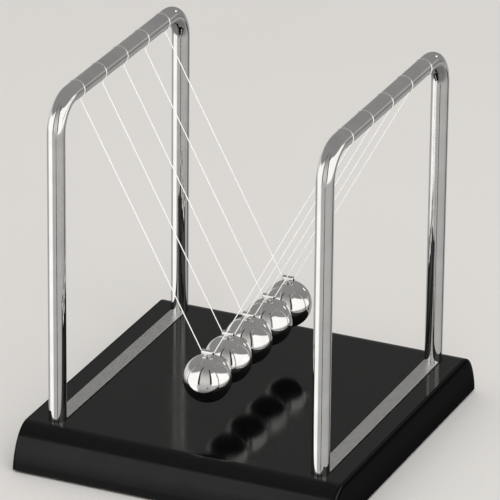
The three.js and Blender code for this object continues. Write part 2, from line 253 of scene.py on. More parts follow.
def bright_metal(dark, light, polish, scuffed, smudge_scale):
    """Mirror metal: handling smudges dull it in soft patches, and its tone drifts between two greys."""
    def shade(tree):
        place = tree.place()
        smudge = tree.noise(place, smudge_scale, detail=4)
        hairline = tree.noise(tree.stretched(place, (1, 1, 0.08)), 9000)
        return {
            "Base Color": tree.colours(tree.ramp(smudge, 0.3, 0.7), grey(dark), grey(light)),
            "Metallic": 1.0,
            "Roughness": tree.ramp(smudge, 0.42, 0.72, polish, scuffed),
            "Normal": tree.bump(hairline, 0.002 * MM),
        }
    return shade


def hanger_chrome(tree):
    """Bright outside, and dull inside the tube's bore, where the line rubs. The bore is also painted dark, as
    painted shade.
    """
    look = bright_metal(0.84, 0.93, 0.05, 0.12, 500)(tree)
    _, along_row, height = tree.parts(tree.place())
    pitch = middle("ball_2").y - middle("ball_1").y
    across = tree.math("WRAP", along_row, pitch / 2, -pitch / 2)
    up = tree.minus(height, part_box("hanger_1")[1].z - HANGER_TUBE_RADIUS)
    bore_shade_and_rub = tree.ramp(tree.spread(across, HANGER_BORE, up, HANGER_BORE), 1.5, 1.1)
    # painted shade: the inside of the bore is painted near-black
    look["Base Color"] = tree.mixed_colours(bore_shade_and_rub, look["Base Color"], (0.05, 0.05, 0.05, 1))
    look["Roughness"] = tree.mix(bore_shade_and_rub, look["Roughness"], 0.5)
    return look


def seen_in_metal(tree):
    """1 for light on its way to a mirror surface, 0 for light on its way to the camera."""
    return tree.add("ShaderNodeLightPath").outputs["Is Glossy Ray"]


def gloss_black(tree):
    """Polished moulding. It mirrors less near its foot, as painted contact shade, and its ends hardly mirror
    when seen at a slant, as painted shade. Where it is seen in the metal it mirrors less, also as painted
    shade.
    """
    place = tree.place()
    sink = tree.noise(place, 22, detail=1)
    haze = tree.noise(place, 60, detail=5)
    dust = tree.ramp(tree.noise(place, 2600, detail=2), 0.74, 0.8)
    # painted contact shade: the base mirrors only half as much at its foot
    painted_foot_shade = tree.ramp(tree.parts(place)[2], 3 * MM, 11 * MM, 0.5, 1.0)
    normal = tree.add("ShaderNodeNewGeometry").outputs["Normal"]
    on_end = tree.ramp(tree.math("ABSOLUTE", tree.parts(normal)[0]), 0.7, 0.95)
    slanting = tree.ramp(tree.add("ShaderNodeLayerWeight", {"Blend": 0.5}).outputs["Facing"], 0.25, 0.55)
    # painted shade: the ends hardly mirror when seen at a slant
    shine = tree.times(painted_foot_shade, tree.mix(tree.times(on_end, slanting), 1.0, 0.02))
    return {
        "Base Color": tree.colours(dust, (0.0025, 0.0025, 0.0025), (0.02, 0.02, 0.019)),
        "Roughness": tree.ramp(haze, 0.35, 0.7, 0.085, 0.15),
        # painted shade: the base mirrors less where it is seen in the metal
        "Specular IOR Level": tree.times(tree.mix(seen_in_metal(tree), 0.31, 0.08), shine),
        "Normal": tree.bump(sink, 0.07 * MM),
    }


def brushed_inlay(tree):
    """Satin metal with its grain along the strip."""
    place = tree.place()
    grain = tree.noise(tree.stretched(place, (1, 0.05, 1)), 5000, detail=3)
    blotch = tree.noise(place, 240, detail=3)
    tone = tree.mix(0.3, grain, blotch)
    return {
        "Base Color": tree.colours(tree.ramp(tone, 0.35, 0.65), (0.79, 0.79, 0.77), (0.88, 0.88, 0.86)),
        "Metallic": 1.0,
        "Roughness": tree.ramp(grain, 0.3, 0.7, 0.26, 0.4),
        "Normal": tree.bump(grain, 0.006 * MM, 0.5),
    }


def nylon(tree):
    """Milky line with a painted glow. On top of the rails and in the metal's reflections it is painted grey,
    as painted shade, and does not glow.
    """
    place = tree.place()
    drawn = tree.noise(tree.stretched(place, (1, 1, 0.2)), 2400)
    # painted shade: the top of each loop over the rail is painted grey
    shade_over_rail = tree.ramp(tree.parts(place)[2], RAIL_Z + 0.35 * ROD_RADIUS, RAIL_Z + 0.8 * ROD_RADIUS)
    painted_shade_share = tree.math("MAXIMUM", shade_over_rail, seen_in_metal(tree))
    fibre = tree.colours(drawn, (0.86, 0.86, 0.84), (0.95, 0.95, 0.93))
    return {
        # painted shade: grey where the loop lies over the rail and where the line is seen in the metal
        "Base Color": tree.mixed_colours(painted_shade_share, fibre, (0.4, 0.4, 0.39, 1)),
        "Roughness": tree.ramp(drawn, 0.3, 0.7, 0.25, 0.4),
        "Subsurface Weight": 0.4,
        "Subsurface Radius": (0.6, 0.6, 0.6),
        "Subsurface Scale": 0.3 * MM,
        # painted glow: the line gives off light although it is no lamp
        "Emission Color": (1, 1, 0.98, 1),
        "Emission Strength": tree.mix(painted_shade_share, 0.2, 0.0),
    }


def matt_plastic(tree):
    """Spark-textured moulding."""
    place = tree.place()
    spark = tree.add("ShaderNodeTexVoronoi", {"Vector": place, "Scale": 2200.0}).outputs["Distance"]
    return {
        "Base Color": tree.colours(tree.noise(place, 90), (0.012, 0.012, 0.012), (0.022, 0.022, 0.021)),
        "Roughness": tree.ramp(spark, 0.1, 0.6, 0.5, 0.68),
        "Normal": tree.bump(spark, 0.04 * MM, 0.5),
    }


def rubber(tree):
    """Dull, finely grained foot."""
    place = tree.place()
    grain = tree.noise(place, 3000, detail=5)
    return {
        "Base Color": tree.colours(tree.noise(place, 300), (0.018, 0.018, 0.018), (0.032, 0.032, 0.031)),
        "Roughness": tree.ramp(grain, 0.3, 0.7, 0.75, 0.92),
        "Normal": tree.bump(grain, 0.05 * MM, 0.5),
    }


def zinc(tree):
    """Spangled plating."""
    place = tree.place()
    spangle = tree.add("ShaderNodeTexVoronoi", {"Vector": place, "Scale": 1400.0}).outputs["Distance"]
    return {
        "Base Color": tree.colours(spangle, (0.5, 0.52, 0.54), (0.68, 0.69, 0.7)),
        "Metallic": 1.0,
        "Roughness": tree.ramp(tree.noise(place, 700), 0.3, 0.7, 0.25, 0.42),
    }


def mill_steel(tree):
    """Rolled plate with patches of mill scale."""
    place = tree.place()
    scale_patch = tree.ramp(tree.noise(place, 120, detail=6), 0.4, 0.62)
    rolled = tree.noise(tree.stretched(place, (1, 0.05, 1)), 1500, detail=4)
    return {
        "Base Color": tree.colours(scale_patch, (0.13, 0.13, 0.14), (0.3, 0.29, 0.28)),
        "Metallic": 0.9,
        "Roughness": tree.ramp(rolled, 0.3, 0.7, 0.42, 0.62),
        "Normal": tree.bump(rolled, 0.03 * MM, 0.5),
    }


MATERIALS = {slot: material(slot, shade) for slot, shade in {
    "polished_steel": bright_metal(0.86, 0.93, 0.03, 0.07, 160),
    "chrome_rod": bright_metal(0.84, 0.92, 0.03, 0.07, 90),
    "hanger_chrome": hanger_chrome,
    "gloss_black": gloss_black,
    "inlay_metal": brushed_inlay,
    "nylon_line": nylon,
    "black_plastic": matt_plastic,
    "foot_rubber": rubber,
    "zinc": zinc,
    "ballast_steel": mill_steel,
}.items()}
SLOT_OF = {part["node"]: part["material_slot"] for part in frame["record"]["subparts"]}


# ---- outlines ----
def rounded(corners, radius, steps=5):
    """An open run of 2-D corners with each inner corner turned in an arc, held inside its two sides."""
    points = [Vector(c).to_2d() for c in corners]
    run = [points[0]]
    for before, corner, after in zip(points, points[1:], points[2:]):
        inward, outward = (corner - before), (after - corner)
        turn = inward.angle(outward)
        reach = min(radius * math.tan(turn / 2), inward.length * 0.49, outward.length * 0.49)
        start, end = corner - inward.normalized() * reach, corner + outward.normalized() * reach
        for i in range(steps + 1):
            t = i / steps
            run.append(start * (1 - t) ** 2 + corner * 2 * t * (1 - t) + end * t ** 2)
    return run + [points[-1]]


def smooth_share(value, low, high):
    t = min(1.0, max(0.0, (value - low) / (high - low)))
    return t * t * (3 - 2 * t)


# ---- meshes ----
def skin(rings, closed=False):
    """A mesh over a run of rings. A ring of one point closes its end; closed joins the last to the first."""
    shape = bmesh.new()
    rows = [[shape.verts.new(point) for point in ring] for ring in rings]
    pairs = list(zip(rows, rows[1:]))
    if closed:
        pairs.append((rows[-1], rows[0]))
    for here, there in pairs:
        count = max(len(here), len(there))
        for i in range(count):
            j = (i + 1) % count
            corners = [here[i % len(here)], here[j % len(here)], there[j % len(there)], there[i % len(there)]]
            shape.faces.new(list(dict.fromkeys(corners)))
    bmesh.ops.recalc_face_normals(shape, faces=shape.faces)
    return shape


def ring(centre, side, up, radius, sides):
    """A circle of points, or its centre alone when the radius is nothing."""
    if radius <= 0:
        return [centre]
    turns = [2 * math.pi * i / sides for i in range(sides)]
    return [centre + side * (radius * math.cos(a)) + up * (radius * math.sin(a)) for a in turns]


def turned(profile, sides=64, centre=Vector(), axis="Z", closed=False):
    """A lathed mesh: the profile lists (radius, distance along the axis)."""
    along, side, up = {"Z": (Z, X, Y), "X": (X, Y, Z)}[axis]
    return skin([ring(centre + along * h, side, up, r, sides) for r, h in profile], closed)


def swept(stations, normal, sides):
    """A round bar through (point, tangent, radius) stations that lie in one plane."""
    return skin([ring(point, normal, tangent.cross(normal), radius, sides)
                 for point, tangent, radius in stations])


def bent_path(corners, radius, steps):
    """Points and tangents along straight runs joined by arcs, each arc stepped evenly."""
    stations = [(corners[0], (corners[1] - corners[0]).normalized())]
    for before, corner, after in zip(corners, corners[1:], corners[2:]):
        inward, outward = (corner - before).normalized(), (after - corner).normalized()
        turn = inward.angle(outward)
        start = corner - inward * (radius * math.tan(turn / 2))
        side = (outward - inward * inward.dot(outward)).normalized()
        for i in range(steps + 1):
            a = turn * i / steps
            point = start + inward * (radius * math.sin(a)) + side * (radius * (1 - math.cos(a)))
            stations.append((point, inward * math.cos(a) + side * math.sin(a)))
    stations.append((corners[-1], (corners[-1] - corners[-2]).normalized()))
    return stations


def prism(outline, low, high):
    """A closed outline of (x, y) points carried from one height to another."""
    shape = bmesh.new()
    floor = [shape.verts.new((x, y, low)) for x, y in outline]
    roof = [shape.verts.new((x, y, high)) for x, y in outline]
    for i in range(len(outline)):
        j = (i + 1) % len(outline)
        shape.faces.new((floor[i], floor[j], roof[j], roof[i]))
    shape.faces.new(floor)
    shape.faces.new(roof)
    bmesh.ops.recalc_face_normals(shape, faces=shape.faces)
    return shape


def rounded_rectangle(centre, width, depth, radius, steps=6):
    points = []
    for quarter in range(4):
        sx, sy = (1, 1, -1, -1)[quarter], (-1, 1, 1, -1)[quarter]
        corner = centre + X * (sx * (width / 2 - radius)) + Y * (sy * (depth / 2 - radius))
        for i in range(steps + 1):
            a = math.pi / 2 * (quarter - 1 + i / steps)
            points.append((corner.x + radius * math.cos(a), corner.y + radius * math.sin(a)))
    return points


def combined(body, operation, tools):
    """The body with each tool joined to it or cut from it. The tools are used up."""
    target = scene_object("temporary", body)
    cutters = [scene_object("temporary", tool) for tool in tools]
    for cutter in cutters:
        step = target.modifiers.new("step", "BOOLEAN")
        step.operation, step.solver, step.object = operation, "MANIFOLD", cutter
    bpy.context.view_layer.update()
    result = bmesh.new()
    result.from_mesh(target.evaluated_get(bpy.context.evaluated_depsgraph_get()).to_mesh())
    bmesh.ops.remove_doubles(result, verts=result.verts, dist=WELD)
    for used in [target, *cutters]:
        mesh = used.data
        bpy.data.objects.remove(used)
        bpy.data.meshes.remove(mesh)
    return result


def scene_object(name, shape):
    """An object in the scene with the shape's mesh. The shape is used up."""
    mesh = bpy.data.meshes.new(name)
    shape.to_mesh(mesh)
    shape.free()
    made = bpy.data.objects.new(name, mesh)
    bpy.context.scene.collection.objects.link(made)
    return made


def piece(node, shape, body, sharp=35.0, even=False):
    """Shows the shape in place of a CAD node, riding on its body, in the finish of the node's slot."""
    made = scene_object(node + "_fine", shape)
    made.data.shade_smooth()
    made.data.set_sharp_from_angle(angle=math.radians(sharp))
    if even:
        weighting = made.modifiers.new("even_shading", "WEIGHTED_NORMAL")
        weighting.keep_sharp = True
        weighting.weight = 100
    finish = SLOT_OF[node]
    made.data.materials.append(MATERIALS[finish])
    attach(made, body)
    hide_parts(node)


# ---- base ----
def base_block(inset, low, high, brow_steps, edge_steps, seam=()):
    """The base's moulded form: a quarter-ellipse brow at front and rear, and a rounded edge on each end."""
    half_width = BASE_HIGH.x - inset
    half_depth = BASE_HIGH.y - inset
    brow = BROW_DEPTH - inset / 2
    rise = high - UNDERSIDE
    profile = []
    for i in range(brow_steps + 1):
        a = math.pi / 2 * i / brow_steps
        point = Vector((0, -half_depth + brow * (1 - math.cos(a)), UNDERSIDE + rise * math.sin(a)))
        profile.append((point, Vector((0, -math.cos(a) * rise, math.sin(a) * brow)).normalized()))
    if low < UNDERSIDE:
        profile.insert(0, (Vector((0, -half_depth, low)), -Y))
    flip = Matrix.Diagonal((1, -1, 1))
    profile += [(flip @ point, flip @ normal) for point, normal in reversed(profile)]
    stations = end_edge(edge_steps) + [(away, deep / END_EDGE_DOWN, False) for away, deep in seam]
    rows = []
    for end, run in ((-1, stations), (1, reversed(stations))):
        for away, share, tightens in run:
            row = []
            for point, normal in profile:
                height = smooth_share(point.z, low, high) if tightens else 1
                down = END_EDGE_DOWN_AT_FOOT + (END_EDGE_DOWN - END_EDGE_DOWN_AT_FOOT) * height
                row.append(point - normal * (down * share) + X * (end * (half_width - away)))
            rows.append(row)
    return grid_block(rows)


def end_edge(steps):
    """(distance from the end, share of the drop, whether the drop tightens towards the foot), evenly spaced
    in slope from the end face up to the flat.
    """
    stations = []
    for i in range(steps, -1, -1):
        slope = math.pi / 2 * i / steps
        a = math.atan2(END_EDGE_ACROSS * math.sin(slope), END_EDGE_DOWN * math.cos(slope))
        stations.append((END_EDGE_ACROSS * (1 - math.sin(a)), 1 - math.cos(a), True))
    return stations


def grid_block(rows):
    """A closed block over a grid of points: rows across X, each row from the front foot to the rear foot."""
    shape = bmesh.new()
    grid = [[shape.verts.new(point) for point in row] for row in rows]
    for here, there in zip(grid, grid[1:]):
        for i in range(len(here) - 1):
            shape.faces.new((here[i], here[i + 1], there[i + 1], there[i]))
    shape.faces.new(grid[0])
    shape.faces.new(grid[-1])
    shape.faces.new([row[0] for row in grid] + [row[-1] for row in reversed(grid)])
    bmesh.ops.recalc_face_normals(shape, faces=shape.faces)
    return shape


def slot_cutter(side):
    """A channel for an inlay, with its upper edges eased."""
    low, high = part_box(f"inlay_{side}")
    half = (high.x - low.x) / 2 + CLEARANCE
    flare = half + EASED + OVERCUT
    outline = [(-half, low.z), (half, low.z), (half, BASE_TOP - EASED), (flare, BASE_TOP + OVERCUT),
               (-flare, BASE_TOP + OVERCUT), (-half, BASE_TOP - EASED)]
    centre_x = SIDES[side] * FRAME_X
    rows = [[Vector((centre_x + x, y, z)) for x, z in outline] for y in (-LEG_Y, LEG_Y)]
    return skin([[rows[0][0] * 0.5 + rows[0][1] * 0.5], *rows, [rows[1][0] * 0.5 + rows[1][1] * 0.5]])


def socket_cutter(place):
    """A leg's bore, with the screw's hole below it."""
    bore = ROD_RADIUS + ROD_FIT
    return turned([
        (0, SOCKET_LOW - OVERCUT), (SCREW_BORE, SOCKET_LOW - OVERCUT), (SCREW_BORE, ROD_END), (bore, ROD_END),
        (bore, BASE_TOP + OVERCUT), (0, BASE_TOP + OVERCUT),
    ], ROD_SIDES, place)


def drum(radius, low, high, place, sides=40):
    return turned([(0, low), (radius, low), (radius, high), (0, high)], sides, place)


def build_base_shell():
    roof_overlap = ROOF + OVERCUT
    block = base_block(0, UNDERSIDE, BASE_TOP, brow_steps=40, edge_steps=12, seam=SEAM)
    hollow = base_block(BASE_WALL, UNDERSIDE - OVERCUT, ROOF, brow_steps=12, edge_steps=4)
    shell = combined(block, "DIFFERENCE", [hollow])
    sockets = [drum(ROD_RADIUS + CLEARANCE + SOCKET_WALL, SOCKET_LOW, roof_overlap, p) for p in LEG_PLACES]
    screws = [place_of(node) for node in COVER_SCREWS]
    bosses = [drum(COVER_BOSS_RADIUS, PLATE_HIGH.z, roof_overlap, p) for p in screws]
    pegs = [drum(PEG_RADIUS, BALLAST_HIGH.z + CLEARANCE, roof_overlap, p) for p in PEG_PLACES]
    shell = combined(shell, "UNION", sockets + bosses + pegs)
    pilot_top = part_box(COVER_SCREWS[0])[1].z + CLEARANCE
    pilots = [drum(COVER_PILOT_RADIUS, PLATE_HIGH.z - OVERCUT, pilot_top, p, 24) for p in screws]
    cuts = [socket_cutter(p) for p in LEG_PLACES] + [slot_cutter(side) for side in SIDES] + pilots
    piece("base_shell", combined(shell, "DIFFERENCE", cuts), "base", sharp=25, even=True)


def build_inlays():
    for side, sign in SIDES.items():
        low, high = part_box(f"inlay_{side}")
        half = (high.x - low.x) / 2
        upper = rounded([(half, low.z), (half, high.z), (-half, high.z), (-half, low.z)], INLAY_EDGE)
        rows = [[Vector((sign * FRAME_X + x, y, z)) for x, z in upper] for y in (low.y, high.y)]
        bar = skin([[(rows[0][0] + rows[0][-1]) / 2], *rows, [(rows[1][0] + rows[1][-1]) / 2]])
        notch = ROD_RADIUS + ROD_FIT
        legs = [drum(notch, low.z - OVERCUT, high.z + OVERCUT, p, 64) for p in LEG_PLACES if p.x * sign > 0]
        piece(f"inlay_{side}", combined(bar, "DIFFERENCE", legs), "base", sharp=25, even=True)


def build_bottom_plate():
    size = PLATE_HIGH - PLATE_LOW
    centre = (PLATE_HIGH + PLATE_LOW) / 2
    plate = prism(rounded_rectangle(centre, size.x, size.y, PLATE_CORNER), PLATE_LOW.z, PLATE_HIGH.z)
    seats = []
    for node in COVER_SCREWS:
        head = radius_of(node) + CLEARANCE
        below, above = PLATE_LOW.z - OVERCUT, PLATE_HIGH.z + OVERCUT
        seats.append(turned([
            (0, below), (head + EASED + OVERCUT, below), (head, PLATE_LOW.z + EASED),
            (COVER_PILOT_RADIUS, PLATE_LOW.z + COVER_SCREW["head"]), (COVER_PILOT_RADIUS, above), (0, above),
        ], 40, place_of(node)))
    piece("bottom_plate", combined(plate, "DIFFERENCE", seats), "base")


def build_ballast():
    size = BALLAST_HIGH - BALLAST_LOW
    centre = (BALLAST_HIGH + BALLAST_LOW) / 2
    block = prism(rounded_rectangle(centre, size.x, size.y, BALLAST_CORNER), BALLAST_LOW.z, BALLAST_HIGH.z)
    rims = [e for e in block.edges if abs(e.verts[0].co.z - e.verts[1].co.z) < WELD]
    bmesh.ops.bevel(block, geom=rims, offset=BALLAST_BEVEL, segments=3, profile=0.5, affect="EDGES")
    piece("ballast_plate", block, "base")


def build_feet():
    for end in ENDS:
        for side in SIDES:
            node = f"foot_{end}_{side}"
            low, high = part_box(node)
            radius = radius_of(node)
            corners = [(0, low.z), (radius - FOOT_DRAFT, low.z), (radius, high.z), (0, high.z)]
            piece(node, turned(rounded(corners, FOOT_EDGE), 64, place_of(node)), "base")


def build_screws():
    for node in COVER_SCREWS:
        build_screw(node, COVER_SCREW)
    for end in ENDS:
        for side in SIDES:
            build_screw(f"frame_screw_{end}_{side}", FRAME_SCREW)


def build_screw(node, size):
    """A threaded shank over a head with a cross recess. The plate's screws are countersunk."""
    low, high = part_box(node)
    head_top = low.z + size["head"]
    corners = [(0, low.z), (radius_of(node), low.z), (size["shank"], head_top)]
    if size is FRAME_SCREW:
        corners.insert(2, (radius_of(node), head_top))
    outline = rounded(corners, size["edge"]) + thread(size["shank"], low.z + size["thread_from"], high.z)
    place = place_of(node)
    blades = [rounded_rectangle(place, width, depth, RECESS_CORNER, 3)
              for width, depth in ((RECESS_REACH, RECESS_BLADE), (RECESS_BLADE, RECESS_REACH))]
    recess = [prism(blade, low.z - OVERCUT, low.z + RECESS_DEPTH) for blade in blades]
    piece(node, combined(turned(outline, 40, place), "DIFFERENCE", recess), "base")


def thread(radius, low, high):
    """The lathed outline of a threaded shank and its tip, up to the axis."""
    root = radius - THREAD_DEPTH
    outline = [(root, low)]
    for i in range(int((high - low) / THREAD_PITCH) - 1):
        outline += [(radius, low + THREAD_PITCH * (i + CREST_FROM)),
                    (radius, low + THREAD_PITCH * (i + CREST_TO)),
                    (root, low + THREAD_PITCH * (i + 1))]
    return outline + [(radius / 2, high), (0, high)]


def build_washers():
    for end in ENDS:
        for side in SIDES:
            node = f"frame_washer_{end}_{side}"
            low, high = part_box(node)
            outer, inner, eased = radius_of(node), SCREW_BORE, low.z + WASHER_EASE
            lower = [(inner, eased), (inner + WASHER_EASE, low.z),
                     (outer - WASHER_EASE, low.z), (outer, eased)]
            outline = lower + [(r, low.z + high.z - h) for r, h in reversed(lower)]
            piece(node, turned(outline, 48, place_of(node), closed=True), "base")


# ---- frames ----
def build_frames():
    """Each frame is a bent rod with a groove turned in its rail for each line, tapped up both legs."""
    grooves = [middle(f"ball_{n}").y for n in NUMBERS]
    groove_steps = 8
    for side, sign in SIDES.items():
        foot_front = Vector((sign * FRAME_X, -LEG_Y, ROD_END))
        foot_rear = Vector((sign * FRAME_X, LEG_Y, ROD_END))
        rise = Z * (RAIL_Z - ROD_END)
        path = bent_path([foot_front, foot_front + rise, foot_rear + rise, foot_rear], BEND_RADIUS, 24)
        half = len(path) // 2
        stations = tapped_end(foot_front) + [(p, t, ROD_RADIUS) for p, t in path[1:half]]
        for y in grooves:
            for i in range(groove_steps + 1):
                a = math.pi * i / groove_steps
                centre = Vector((sign * FRAME_X, y - GROOVE_RADIUS * math.cos(a), RAIL_Z))
                stations.append((centre, Y, ROD_RADIUS - GROOVE_RADIUS * math.sin(a)))
        stations += [(p, t, ROD_RADIUS) for p, t in path[half:-1]]
        stations += [(p, -t, r) for p, t, r in reversed(tapped_end(foot_rear))]
        piece(f"frame_{side}", swept(stations, X, ROD_SIDES), "base", sharp=40)


def tapped_end(foot):
    """From the top of the screw's bore down to the rod's end, and out over its chamfer."""
    top = foot + Z * FRAME_SCREW_REACH
    eased = foot + Z * ROD_CHAMFER
    bore = [(top, Z, 0), (top, Z, SCREW_BORE), (eased, Z, SCREW_BORE), (foot, Z, SCREW_BORE + ROD_CHAMFER / 2)]
    return bore + [(foot, Z, ROD_RADIUS - ROD_CHAMFER), (eased, Z, ROD_RADIUS)]


# ---- lines ----
def knot_point(side, number):
    return middle(f"knot_{side}_{number}")


def build_loop(side, number):
    """One turn of line in the rail's groove, drawn together at the knot."""
    y = middle(f"ball_{number}").y
    rail = Vector((SIDES[side] * FRAME_X, y, RAIL_Z))
    knot = knot_point(side, number) - rail
    bearing = math.atan2(knot.z, knot.x)
    lift = math.acos(ROD_RADIUS / knot.length)
    steps = 72
    stations = [(rail + knot, LINE_RADIUS)]
    for i in range(steps + 1):
        a = bearing + lift + (2 * math.pi - 2 * lift) * i / steps
        stations.append((rail + (X * math.cos(a) + Z * math.sin(a)) * ROD_RADIUS, LINE_RADIUS))
    stations.append((rail + knot, LINE_RADIUS))
    rings = []
    for i, (point, radius) in enumerate(stations):
        before, after = stations[max(i - 1, 0)][0], stations[min(i + 1, len(stations) - 1)][0]
        rings.append(ring(point, Y, (after - before).normalized().cross(Y), radius, LINE_SIDES))
    rings = [[stations[0][0]], *rings, [stations[-1][0]]]
    piece(f"loop_{side}_{number}", skin(rings), "base", sharp=60)


def build_line(number, body):
    """From knot to knot through the hanger's tube, with an easy bend at each end of the tube."""
    left, right = knot_point("left", number), knot_point("right", number)
    tube_end = line_in_tube(number)
    slope = math.atan2(right.z - tube_end.z, right.x - tube_end.x)
    reach = tube_end.x + LINE_BEND * math.tan(slope / 2)
    elbows = [Vector((x, left.y, tube_end.z)) for x in (-reach, reach)]
    start = left + (elbows[0] - left).normalized() * KNOT_COVERS
    end = right + (elbows[1] - right).normalized() * KNOT_COVERS
    path = bent_path([start, *elbows, end], LINE_BEND, 10)
    stations = [(*path[0], 0), *((p, t, LINE_RADIUS) for p, t in path), (*path[-1], 0)]
    piece(f"line_{number}", swept(stations, Y, LINE_SIDES), body, sharp=60)


def line_in_tube(number):
    """Where the line comes out of the right-hand end of a hanger's tube."""
    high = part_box(f"hanger_{number}")[1]
    return Vector((high.x, knot_point("right", number).y, high.z - HANGER_TUBE_RADIUS + LINE_LIFT))


def build_knot(side, number, body):
    """A small barrel knot: the line's end wound round the line."""
    centre = knot_point(side, number)
    tube_end = line_in_tube(number) * Vector((SIDES[side], 1, 1))
    along = (tube_end - centre).normalized()
    across = along.cross(Y)
    coil, steps = LINE_RADIUS + KNOT_THREAD * 0.6, 20 * KNOT_TURNS
    length = KNOT_PITCH * KNOT_TURNS

    def at(t):
        a = 2 * math.pi * KNOT_TURNS * t
        return centre + along * (length * (t - 0.5)) + (Y * math.cos(a) + across * math.sin(a)) * coil

    rings = [[at(0)]]
    for i in range(steps + 1):
        point = at(i / steps)
        tangent = (at((i + 0.5) / steps) - at((i - 0.5) / steps)).normalized()
        side_way = tangent.cross(along).normalized()
        rings.append(ring(point, side_way, tangent.cross(side_way), KNOT_THREAD, 10))
    rings.append([at(1)])
    piece(f"knot_{side}_{number}", skin(rings), body, sharp=60)


# ---- pendulums ----
def build_hanger(number, body):
    """A short tube for the line, on a stem with a collar that sits on the ball."""
    node = f"hanger_{number}"
    low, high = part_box(node)
    centre = Vector((0, middle(node).y, 0))
    tube_z = high.z - HANGER_TUBE_RADIUS
    ball = ball_centre(number)
    rim = HANGER_TUBE_RADIUS - HANGER_LIP
    tube = turned([(0, low.x), (rim, low.x), (HANGER_TUBE_RADIUS, low.x + HANGER_LIP),
                   (HANGER_TUBE_RADIUS, high.x - HANGER_LIP), (rim, high.x), (0, high.x)],
                  48, Vector((0, centre.y, tube_z)), "X")
    stem = drum(HANGER_STEM_RADIUS, low.z, tube_z, centre)
    seat, top = ball.z + COLLAR_LOW, ball.z + COLLAR_HIGH
    flange = rounded([(0, seat), (COLLAR_RADIUS, seat), (COLLAR_RADIUS, (seat + top) / 2),
                      (HANGER_STEM_RADIUS + EASED, top), (0, top)], COLLAR_EDGE)
    collar = turned(flange, 48, centre)
    mouth = HANGER_BORE + BORE_FLARE + OVERCUT
    bore = turned([(0, low.x - OVERCUT), (mouth, low.x - OVERCUT),
                   (HANGER_BORE, low.x + BORE_FLARE), (HANGER_BORE, high.x - BORE_FLARE),
                   (mouth, high.x + OVERCUT), (0, high.x + OVERCUT)],
                  32, Vector((0, centre.y, tube_z)), "X")
    shape = combined(combined(tube, "UNION", [stem, collar]), "DIFFERENCE", [bore])
    piece(node, shape, body, sharp=30, even=True)


def ball_centre(number):
    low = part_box(f"ball_{number}")[0]
    centre = middle(f"ball_{number}")
    return Vector((centre.x, centre.y, low.z + radius_of(f"ball_{number}")))


def build_ball(number, body):
    """A ball with a blind hole down from its top, eased at the mouth."""
    node = f"ball_{number}"
    radius = radius_of(node)
    hole = HANGER_STEM_RADIUS + CLEARANCE
    rows = 96
    mouth = math.acos((hole + EASED) / radius)
    outline = [(0, -radius)]
    for i in range(1, rows + 1):
        a = -math.pi / 2 + (mouth + math.pi / 2) * i / rows
        outline.append((radius * math.cos(a), radius * math.sin(a)))
    outline += [(hole, radius * math.sin(mouth) - EASED), (hole, STEM_HOLE_FLOOR), (0, STEM_HOLE_FLOOR)]
    piece(node, turned(outline, BALL_SIDES, ball_centre(number)), body)


def build_pendulums():
    for number in NUMBERS:
        body = f"pendulum_{number}"
        build_ball(number, body)
        build_hanger(number, body)
        build_line(number, body)
        for side in SIDES:
            build_loop(side, number)
            build_knot(side, number, body)


# ---- studio ----
PALE_WARM = (0.76, 0.745, 0.725)
EVEN_LIGHT = 0.76                   # what everything but metal sees
BRIGHT_WALL, REAR_WALL, FRONT_WALL, CEILING = 1.08, 0.72, 0.62, 0.255
LOW_FRONT, LOW_REAR = 0.45, 0.38

# The room's sectors: middle bearing, (half width at the outer and inner end of the soft edge).
BETWEEN_POSTS = 169, (31, 28)
LEFT_REAR = -62, (36, 26)
RIGHT_BEHIND = 2, (37, 32)
LOW_WINDOW = -127, (35, 22)
FRONT = 176, (125, 80)

# How high the bright wall reaches: (rise per degree of bearing, height at the start).
LEFT_TOP_STEEP, LEFT_TOP_GENTLE = (-0.72, 45.0), (-0.3, 30.5)     # from LEFT_START
RIGHT_TOP = 0.58, -20.5                                           # from straight behind
RIGHT_TOP_LEVEL = 44.0
LEFT_START = -150.0

# The room's oval patches: (bearing, elevation), (half width, half height), (outer and inner rim), brightness.
DARK_CORNER = (38, -24), (8, 5), (1.4, 0.6), 0.02
GREY_CORNER = (30, -14), (14, 8), (1.6, 0.7), 0.2
HORIZON_GLOW = (33, 0), (9, 4), (1.6, 0.6), 0.42
LOW_POST = (156, -24), (3.6, 4), (1.3, 0.6), 0.02
LAMP = (15, 14), (5, 3.6), (1.4, 0.6), 1.5

# The room's posts: a sector, then the middle elevation and (outer and inner) reach up and down from it.
RIGHT_POST = (140, (5.5, 3.5)), 28, (42, 30)
LEFT_POST = (-169, (5.4, 3.6)), 30, (48, 36)
POST_SHADE = 0.02
POST_LEAN = 0.25                    # degrees of bearing for each degree up, on the left post
LEAN_FROM = 20.0

CAMERA_YAW, CAMERA_PITCH, CAMERA_ROLL = (math.radians(a) for a in (23.96, 23.94, 0.57))
CAMERA_DISTANCE = 2219.7 * MM
CAMERA_SHIFT = (0.32 * MM, 57.1 * MM)       # right of and above the middle of the base's top
CAMERA_LENS, CAMERA_SENSOR = 388.81, 36

PANEL_SIZE, PANEL_POWER = 1.6, 14
PANEL_PLACE = (0.7, -0.9, 1.7)
FLOOR_REACH = 30


